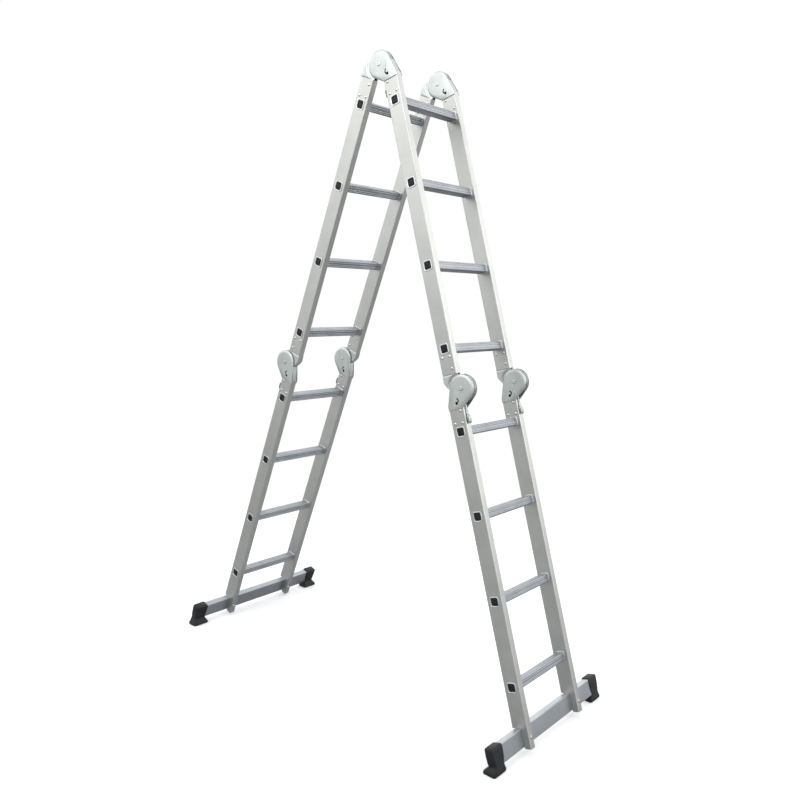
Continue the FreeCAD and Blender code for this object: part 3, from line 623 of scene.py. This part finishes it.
def at_hinge(pivot, leg, turn, way):
    """The place of a hinge piece drawn about its own axle, at the left or right stile."""
    return Matrix.Translation(pivot + Vector((way * STILE_X, 0, 0))) @ leg_turn(leg) @ turn


for section in SECTIONS:
    rivets = bmesh.new()
    one = rivet_shape()
    for pivot, covers, knuckles in HINGES.values():
        for leg, body, turn in (covers, knuckles):
            if body != section:
                continue
            for side, way in SIDES:
                for across, down in RIVET_PLACES:
                    spot = Matrix.Translation((0, STILE_OFFSET + across, -down))
                    add_copy(rivets, one, at_hinge(pivot, leg, turn, way) @ spot)
    one.free()
    finished(rivets, f"{section}_rivet_heads", section, FASTENER_FINISH,
             replaces=[f"{section}_rivets"])


# --------------------------------------------------------------------------------------------
# Hinge covers: pressed steel, zinc plated, one on each side of every hinge. The disc is dished
# outwards with a broad rounded rim, a wall joins the pair at the back, the arm is riveted inside
# the stile, and a hooked slot shows the lock pin.
# --------------------------------------------------------------------------------------------

PLATE_FINISH = metal_finish("zinc_plated_steel", (0.43, 0.475, 0.47), (0.52, 0.55, 0.525),
                            (0.70, 0.72, 0.71), 0.48, mottle_scale=26, line_scale=60, relief=0.0)
DISC, DISH_FACE, AXLE_HOLE = 0.046, 0.0150, 0.0050
# The hooked slot's middle line, as (y, z) from its tip to the round end behind the lock pin.
SLOT_PATH = ((0.0245, -0.0290), (0.0207, -0.0320), (0.0192, -0.0370), (0.0215, -0.0415),
             (0.0278, -0.0445))
SLOT_WIDE, SLOT_END, SLOT_LAP = 0.0042, 0.0050, 0.0016


def carve(piece, cutters):
    """Cut closed shapes out of a piece for good."""
    for cutter in cutters:
        mesh = bpy.data.meshes.new("cutter")
        bmesh.ops.recalc_face_normals(cutter, faces=cutter.faces)
        cutter.to_mesh(mesh)
        cutter.free()
        tool = bpy.data.objects.new("cutter", mesh)
        bpy.context.scene.collection.objects.link(tool)
        cut = piece.modifiers.new("cut", "BOOLEAN")
        cut.operation, cut.solver, cut.object = "DIFFERENCE", "EXACT", tool
        bpy.context.view_layer.update()
        result = bpy.data.meshes.new_from_object(
            piece.evaluated_get(bpy.context.evaluated_depsgraph_get()))
        piece.modifiers.clear()
        old, piece.data = piece.data, result
        bpy.data.meshes.remove(old)
        bpy.data.objects.remove(tool)
        bpy.data.meshes.remove(mesh)


def hull_outline(shape, radius, corners, x, segments=72):
    """A flat face across x: the hull of a disc and some corner points."""
    disc = bmesh.ops.create_circle(shape, cap_ends=False, segments=segments, radius=radius)["verts"]
    bmesh.ops.rotate(shape, verts=disc, cent=(0, 0, 0), matrix=Matrix.Rotation(math.pi / 2, 3, "Y"))
    corner_verts = [shape.verts.new((0, y, z)) for y, z in corners]
    hull = [v.co.yz.copy() for v in disc + corner_verts]
    bmesh.ops.delete(shape, geom=shape.verts[:], context="VERTS")
    order = geometry.convex_hull_2d(hull)
    return outline_face(shape, [tuple(hull[i]) for i in order], x)


COVER_SHEET = 0.0014
# Below STILE_TOP the cover stands outside the stile by at least OVER_STILE. Away from the disc the
# rim is RIM_SHARE as broad, and narrows towards ARM_TOP.
STILE_TOP, OVER_STILE, RIM_SHARE, ARM_TOP = -0.0485, 0.0142, 0.22, -0.050
COVER_CORNERS = ((0.0640, -0.0640), (0.0640, -0.0500), (0.0075, -0.0640), (0.0005, -0.0500))
# Rim of the dish, from its edge up to its face: how far in from the edge, and how far out in x.
DISH_RIM = ((0.0, 0.0102), (0.0006, 0.0118), (0.0024, 0.0134), (0.0056, 0.0145), (0.0088, 0.0149),
            (0.0104, 0.0150))


def cover_shape():
    """The +x cover of one hinge, drawn about the axle: a shell with a rounded rim."""
    shape = bmesh.new()
    edge = hull_outline(shape, DISC, COVER_CORNERS, 0.0)
    outline = [v.co.yz.copy() for v in edge.verts]
    bmesh.ops.delete(shape, geom=[edge], context="FACES_ONLY")
    bmesh.ops.delete(shape, geom=shape.verts[:], context="VERTS")
    arm_middle = Vector((STILE_OFFSET, ARM_TOP))
    rings = []
    for inward, proud in DISH_RIM:
        ring = []
        for point in outline:
            if point.length < DISC + 0.0005:
                y, z = point * (1 - inward / DISC)
            else:
                y, z = point + (arm_middle - point).normalized() * inward * RIM_SHARE
            out = max(proud, OVER_STILE) if z < STILE_TOP else proud
            ring.append(shape.verts.new((out, y, z)))
        rings.append([shape.edges.new((ring[i - 1], ring[i])) for i in range(len(ring))])
    for outer, inner in zip(rings, rings[1:]):
        bmesh.ops.bridge_loops(shape, edges=outer + inner)
    bmesh.ops.holes_fill(shape, edges=rings[-1], sides=0)
    bmesh.ops.recalc_face_normals(shape, faces=shape.faces)
    if sum(face.normal.x * face.calc_area() for face in shape.faces) < 0:
        bmesh.ops.reverse_faces(shape, faces=shape.faces)
    inside = bmesh.ops.extrude_face_region(shape, geom=shape.faces[:])["geom"]
    shape.normal_update()
    for vert in inside:
        if isinstance(vert, bmesh.types.BMVert):
            vert.co -= vert.normal * COVER_SHEET
    return shape


def bored(y, z, radius, x=0.010, deep=0.02, segments=24):
    """A round cutter along x."""
    cutter = bmesh.new()
    bmesh.ops.create_cone(cutter, cap_ends=True, segments=segments, radius1=radius, radius2=radius,
                          depth=deep, matrix=Matrix.Translation((x, y, z)) @ Matrix.Rotation(
                              math.pi / 2, 4, "Y"))
    return cutter


def strip(path, thick):
    """A bent steel strip lying across x, through (y, z, half width) points."""
    shape = bmesh.new()
    line = [shape.verts.new((-half, y, z)) for y, z, half in path]
    edges = [shape.edges.new(pair) for pair in zip(line, line[1:])]
    for vert in bmesh.ops.extrude_edge_only(shape, edges=edges)["geom"]:
        if isinstance(vert, bmesh.types.BMVert):
            vert.co.x = -vert.co.x
    bmesh.ops.recalc_face_normals(shape, faces=shape.faces)
    bmesh.ops.solidify(shape, geom=shape.faces[:], thickness=thick)
    return shape


WALL_THICK = 0.0012
# The folded walls on the far edge, as (y, z, half width) from the disc down to the stile.
COVER_WALL = ((0.0472, -0.0005, 0.0098), (0.0560, -0.0285, 0.0098), (0.0624, -0.0500, 0.0098),
              (0.0628, -0.0540, 0.0098))
KNUCKLE_WALL = ((0.0468, -0.0008, 0.0083), (0.0505, -0.0070, 0.0083), (0.0580, -0.0200, 0.0100),
                (0.0622, -0.0290, 0.0112), (0.0628, -0.0540, 0.0112))


def cover_piece(name, body, place):
    shape = cover_shape()
    piece = finished(shape, name, body, PLATE_FINISH)
    cutters = [bored(*SLOT_PATH[-1], SLOT_END), bored(0, 0, AXLE_HOLE)]
    for (y0, z0), (y1, z1) in zip(SLOT_PATH, SLOT_PATH[1:]):
        run = Vector((y1 - y0, z1 - z0))
        bar = bmesh.new()
        middle = Matrix.Translation((0.010, (y0 + y1) / 2, (z0 + z1) / 2))
        slope = Matrix.Rotation(math.atan2(run.y, run.x), 4, "X")
        size = Matrix.Diagonal((0.02, run.length + SLOT_LAP, SLOT_WIDE, 1))
        bmesh.ops.create_cube(bar, size=1.0, matrix=middle @ slope @ size)
        cutters.append(bar)
    carve(piece, cutters)
    both = bmesh.new()
    both.from_mesh(piece.data)
    twin = bmesh.ops.duplicate(both, geom=both.verts[:] + both.edges[:] + both.faces[:])["geom"]
    bmesh.ops.scale(both, vec=(-1, 1, 1), verts=[v for v in twin if isinstance(v, bmesh.types.BMVert)])
    bmesh.ops.reverse_faces(both, faces=[f for f in twin if isinstance(f, bmesh.types.BMFace)])
    wall = strip(COVER_WALL, WALL_THICK)
    add_copy(both, wall, STRAIGHT)
    wall.free()
    bmesh.ops.transform(both, matrix=place, verts=both.verts)
    both.to_mesh(piece.data)
    both.free()
    piece.data.shade_smooth()
    piece.data.set_sharp_from_angle(angle=math.radians(32))
    return piece


for hinge, (pivot, covers, knuckles) in HINGES.items():
    leg, body, turn = covers
    for side, way in SIDES:
        piece = cover_piece(f"{hinge}_{side}_cover", body, at_hinge(pivot, leg, turn, way))
        if side == "left":
            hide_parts(f"{hinge}_hinge_covers")


# --------------------------------------------------------------------------------------------
# Knuckle plates: flat steel discs between the covers, zinc plated, with a ratchet wheel pressed
# between them. Each steps out to the stile's face in an arc round the disc, with a small stud
# in the tab and a wall across the far edge.
# --------------------------------------------------------------------------------------------

# The knuckle's disc and the ratchet wheel beside it: radius, thickness, and middle in x.
KNUCKLE_DISCS = ((0.0440, 0.0030, 0.0070), (0.0405, 0.0052, 0.0029))
# The web between disc and arm: its middle and size in (y, z), the hole behind the disc, and the
# corner that is cut off it.
KNUCKLE_SHEET, WEB_HOLE = 0.0025, 0.0395
WEB_MIDDLE, WEB_SIZE = (0.035, -0.026), (0.058, 0.052)
CORNER_AT, CORNER_SLOPE = (0, 0.064, -0.028), (0, 0.024, 0.014)
# The web stands WEB_SIDE out in x. It steps further out past a radius, and less where it tucks
# under the stile.
WEB_SIDE, STEP_FROM, STEP_RUN, STEP_OUT = 0.0084, 0.0485, 0.0075, 0.0042
TUCK_FROM, TUCK_RUN, TUCK_OUT = 0.0495, 0.002, 0.0022
ARM_MIDDLE, ARM_SIZE = (0.0090, 0.035, -0.086), (0.0030, 0.052, 0.068)
STUD_PLACE, STUD_RADIUS, STUD_TALL = (0.0126, 0.0530, -0.0440), 0.0026, 0.0012


def between_0_and_1(value):
    return min(max(value, 0.0), 1.0)


def knuckle_shape():
    shape = bmesh.new()
    web = bmesh.ops.create_grid(shape, x_segments=29, y_segments=26, size=0.5)["verts"]
    across, tall = WEB_SIZE
    upright = Matrix(((0, 0, 1, 0), (across, 0, 0, 0), (0, tall, 0, 0), (0, 0, 0, 1)))
    bmesh.ops.transform(shape, verts=web, matrix=Matrix.Translation((0, *WEB_MIDDLE)) @ upright)
    bmesh.ops.bisect_plane(shape, geom=shape.verts[:] + shape.edges[:] + shape.faces[:],
                           plane_co=CORNER_AT, plane_no=CORNER_SLOPE, clear_outer=True)
    hidden = [v for v in shape.verts if v.co.yz.length < WEB_HOLE]
    bmesh.ops.delete(shape, geom=hidden, context="VERTS")
    for vert in shape.verts:
        out = between_0_and_1((vert.co.yz.length - STEP_FROM) / STEP_RUN)
        step = out * out * (3 - 2 * out)
        tuck = between_0_and_1((-vert.co.z - TUCK_FROM) / TUCK_RUN)
        vert.co.x = WEB_SIDE + STEP_OUT * step * (1 - tuck) + TUCK_OUT * tuck * step
    bmesh.ops.recalc_face_normals(shape, faces=shape.faces)
    if sum(face.normal.x for face in shape.faces) < 0:
        bmesh.ops.reverse_faces(shape, faces=shape.faces)
    bmesh.ops.solidify(shape, geom=shape.faces[:], thickness=KNUCKLE_SHEET)
    for radius, thick, out in KNUCKLE_DISCS:
        bmesh.ops.create_cone(shape, cap_ends=True, segments=72, radius1=radius, radius2=radius,
                              depth=thick, matrix=Matrix.Translation((out, 0, 0)) @
                              Matrix.Rotation(math.pi / 2, 4, "Y"))
    bmesh.ops.create_cube(shape, size=1.0, matrix=Matrix.Translation(ARM_MIDDLE)
                          @ Matrix.Diagonal((*ARM_SIZE, 1)))
    stud = bmesh.new()
    turned(stud, [(0.0, 0.0)] + dome(0.0, STUD_RADIUS, STUD_TALL), segments=16)
    add_copy(shape, stud, Matrix.Translation(STUD_PLACE))
    stud.free()
    return shape


for hinge, (pivot, covers, knuckles) in HINGES.items():
    leg, body, turn = knuckles
    for side, way in SIDES:
        pair = bmesh.new()
        one = knuckle_shape()
        add_copy(pair, one, STRAIGHT)
        bmesh.ops.scale(one, vec=(-1, 1, 1), verts=one.verts)
        add_copy(pair, one, STRAIGHT)
        one.free()
        wall = strip(KNUCKLE_WALL, WALL_THICK)
        add_copy(pair, wall, STRAIGHT)
        wall.free()
        piece = finished(pair, f"{hinge}_{side}_knuckle", body, PLATE_FINISH,
                         at_hinge(pivot, leg, turn, way))
        if side == "left":
            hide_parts(f"{hinge}_hinge_knuckles")


# --------------------------------------------------------------------------------------------
# Axles: a turned steel pin through each hinge, headed over both covers with a centre dimple.
# --------------------------------------------------------------------------------------------

# One head, from the shank to the bottom of the dimple: height above the cover, and radius.
AXLE_HEAD = ((0.0006, 0.0048), (0.0006, 0.0072), (0.0014, 0.0068), (0.0018, 0.0056),
             (0.0018, 0.0030), (0.0008, 0.0018), (0.0006, 0.0))


def axle_shape():
    shape = bmesh.new()
    half = [(DISH_FACE + proud, radius) for proud, radius in AXLE_HEAD]
    turned(shape, [(-x, radius) for x, radius in half[::-1]] + half, segments=32)
    return shape


for hinge, (pivot, covers, knuckles) in HINGES.items():
    leg = covers[0]
    holder = "upper_back" if hinge == "back" else "upper_front"
    axles = bmesh.new()
    one = axle_shape()
    for side, way in SIDES:
        add_copy(axles, one, at_hinge(pivot, leg, STRAIGHT, way))
    one.free()
    piece = finished(axles, f"{hinge}_axles", holder, FASTENER_FINISH)
    if hinge != "top":
        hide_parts(f"{hinge}_hinge_axles")


# --------------------------------------------------------------------------------------------
# Release levers: bent from steel strip, one below each hinge on the stile's narrow side. A
# narrow strap drops from the blackened lock pin and ends in a finger loop. Two near-black sheets
# sit behind each hooked slot as painted shade, so the slot reads dark.
# --------------------------------------------------------------------------------------------

LEVER_FINISH = metal_finish("lever_steel", (0.32, 0.35, 0.34), (0.41, 0.43, 0.42),
                            (0.60, 0.62, 0.61), 0.32, mottle_scale=60, relief=0.01)
# Near-black: the lock pin's blackened finish, and painted shade on the sheets behind each hooked slot.
PIN_AND_SLOT_SHADE_FINISH = metal_finish("blackened_steel_and_slot_shade", (0.008, 0.008, 0.009), (0.016, 0.016, 0.018),
                           (0.04, 0.04, 0.04), 0.48, mottle_scale=90, relief=0.0)
LEVER_PATH = (
    # y, z, half width: from the eye between the covers down the strap and round the loop
    (0.0180, -0.0382, 0.0036), (0.0080, -0.0412, 0.0036), (0.0030, -0.0432, 0.0038),
    (0.0020, -0.0500, 0.0042), (0.0018, -0.0600, 0.0046), (0.0030, -0.0720, 0.0046),
    (0.0036, -0.0830, 0.0056), (0.0012, -0.0870, 0.0078), (-0.0020, -0.0900, 0.0080),
    (-0.0032, -0.0940, 0.0080), (-0.0034, -0.1030, 0.0080), (-0.0030, -0.1110, 0.0080),
    (-0.0010, -0.1155, 0.0078), (0.0022, -0.1165, 0.0072), (0.0044, -0.1140, 0.0066),
    (0.0046, -0.1050, 0.0060), (0.0046, -0.0930, 0.0060))
LEVER_SHEET = 0.0016
# Painted shade sheets, one inside each cover behind the hooked slot: middle, size and edge rounding.
SHADE_SHEET_PLACE, SHADE_SHEET_SIZE, SHADE_SHEET_EDGE = (0.0095, 0.0235, -0.0370), (0.0016, 0.0210, 0.0240), 0.0004


for hinge, (pivot, covers, knuckles) in HINGES.items():
    leg, section, turn = covers
    for side, way in SIDES:
        lever = f"{hinge}_{side}_lever"
        place = at_hinge(pivot, leg, turn, way)
        strap = finished(strip(LEVER_PATH, LEVER_SHEET), f"{lever}_strap", lever,
                         LEVER_FINISH, place,
                         [f"{hinge}_{side}_release_lever"])
        soft = strap.modifiers.new("soft", "SUBSURF")
        soft.levels = soft.render_levels = 1
        # Near-black sheets behind the slot: painted shade, so the slot reads dark.
        shade_sheets = bmesh.new()
        out, across, down = SHADE_SHEET_PLACE
        for x in (out, -out):
            bmesh.ops.create_cube(shade_sheets, size=1.0, matrix=Matrix.Translation((x, across, down))
                                  @ Matrix.Diagonal((*SHADE_SHEET_SIZE, 1)))
        bmesh.ops.bevel(shade_sheets, geom=shade_sheets.edges[:], offset=SHADE_SHEET_EDGE, segments=2, profile=0.5,
                        affect="EDGES", material=-1)
        finished(shade_sheets, f"{hinge}_{side}_slot_shade_sheet", lever, PIN_AND_SLOT_SHADE_FINISH,
                 place)
        dress(f"{hinge}_{side}_lock_pin", PIN_AND_SLOT_SHADE_FINISH)


# --------------------------------------------------------------------------------------------
# Stabiliser bars: rectangular aluminium tube across each pair of feet, held by a bolt through
# the strip that is left of each stile.
# --------------------------------------------------------------------------------------------

BAR_FINISH = metal_finish("bar_aluminium", (0.36, 0.39, 0.415), (0.43, 0.46, 0.48),
                          (0.74, 0.75, 0.77), 0.36, turn=(0, math.pi / 2, 0))
for leg in ("front", "back"):
    dress(f"{leg}_stabiliser_bar", BAR_FINISH)


# --------------------------------------------------------------------------------------------
# Bar bolts: zinc plated hexagon heads on washers, one through each stile's strip.
# --------------------------------------------------------------------------------------------

WASHER_RADIUS, WASHER_THICK, WASHER_PLACE = 0.0066, 0.0010, (0, 0.0035, 0)
HEX_RADIUS, HEX_TOP, HEX_TALL, HEX_PLACE = 0.0057, 0.0052, 0.0030, (0, 0.0016, 0)

for leg, body in (("front", "lower_front"), ("back", "lower_back")):
    turn = leg_turn(leg)
    bolts = bmesh.new()
    flat = [turn.inverted() @ (v.co - APEX)
            for v in frame["nodes"][f"{leg}_bar_bolts"].data.vertices]
    under_head = min(p.y for p in flat)
    centre_z = (min(p.z for p in flat) + max(p.z for p in flat)) / 2
    for side, way in SIDES:
        place = in_leg(leg, under_head, -centre_z, way * STILE_X)
        head = bmesh.new()
        quarter = Matrix.Rotation(math.pi / 2, 4, "X")
        bmesh.ops.create_cone(head, cap_ends=True, segments=32, radius1=WASHER_RADIUS,
                              radius2=WASHER_RADIUS, depth=WASHER_THICK,
                              matrix=Matrix.Translation(WASHER_PLACE) @ quarter)
        bmesh.ops.create_cone(head, cap_ends=True, segments=6, radius1=HEX_RADIUS,
                              radius2=HEX_TOP, depth=HEX_TALL,
                              matrix=Matrix.Translation(HEX_PLACE) @ quarter)
        add_copy(bolts, head, place)
        head.free()
    finished(bolts, f"{leg}_bolt_heads", body, FASTENER_FINISH,
             replaces=[f"{leg}_bar_bolts"])


# --------------------------------------------------------------------------------------------
# Boots: black rubber, moulded in one piece and pushed over each end of a bar. A leaning sleeve
# narrows to a waist, then flares to a flat sole on the floor.
# --------------------------------------------------------------------------------------------

BOOT_FINISH = moulded_finish("boot_rubber", (0.005, 0.006, 0.008), (0.022, 0.024, 0.028), 0.52,
                             dust_scale=22, relief=0.3, pebble=700)


# From the sole up: in from the sleeve's mouth and in from the boot's end, depth across the bar,
# share of the leg's lean, then the height above the floor, or up the bar from its middle.
SOLE_STATIONS = ((0.002, 0.002, 0.043, 0.0, 0.0000), (0.000, 0.000, 0.046, 0.0, 0.0015),
                 (0.000, 0.000, 0.046, 0.0, 0.0085), (0.003, 0.004, 0.040, 0.3, 0.0150))
SLEEVE_STATIONS = ((0.010, 0.0130, 0.0305, 0.9, -0.0262), (0.008, 0.0110, 0.0318, 1.0, -0.0180),
                   (0.005, 0.0090, 0.0328, 1.0, -0.0020), (0.004, 0.0080, 0.0330, 1.0, 0.0200),
                   (0.005, 0.0085, 0.0326, 1.0, 0.0290), (0.007, 0.0105, 0.0300, 1.0, 0.0325),
                   (0.010, 0.0140, 0.0260, 1.0, 0.0340))
SOLE_SHIFT = 0.004
BOOT_CORNER = 0.11  # as a share of each section's width and depth


def boot_shape(leg, way):
    """Rounded sections stacked from the sole up to the top of the sleeve."""
    outward = -1 if leg == "front" else 1
    low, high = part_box(f"{leg}_left_boot")
    mouth_x, end_x = abs(high.x), abs(low.x)
    bar = middle_of(f"{leg}_stabiliser_bar")
    lean = leg_lean(leg)
    shape = bmesh.new()
    rings = []
    for stations, on_bar in ((SOLE_STATIONS, False), (SLEEVE_STATIONS, True)):
        for mouth, end, depth, share, up in stations:
            if on_bar:
                centre = Vector((0, bar.y - math.sin(lean) * up, bar.z + math.cos(lean) * up))
            else:
                centre = Vector((0, bar.y + outward * SOLE_SHIFT, up))
            inside, outside = mouth_x + mouth, end_x - end
            place = Matrix.Translation(centre) @ Matrix.Rotation(lean * share, 4, "X")
            place @= Matrix.Translation((way * (inside + outside) / 2, 0, 0))
            place @= Matrix.Diagonal((outside - inside, depth, 1, 1))
            loop = [shape.verts.new(place @ Vector((x, y, 0)))
                    for x, y in rounded_square(0.5, BOOT_CORNER, 3)]
            rings.append([shape.edges.new((loop[i - 1], loop[i])) for i in range(len(loop))])
    for lower, upper in zip(rings, rings[1:]):
        bmesh.ops.bridge_loops(shape, edges=lower + upper)
    for end in (rings[0], rings[-1]):
        bmesh.ops.holes_fill(shape, edges=end, sides=0)
    return shape


for leg, body in (("front", "lower_front"), ("back", "lower_back")):
    for side, way in SIDES:
        finished(boot_shape(leg, way), f"{leg}_{side}_rubber_boot", body,
                 BOOT_FINISH, replaces=[f"{leg}_{side}_boot"], crease=40)
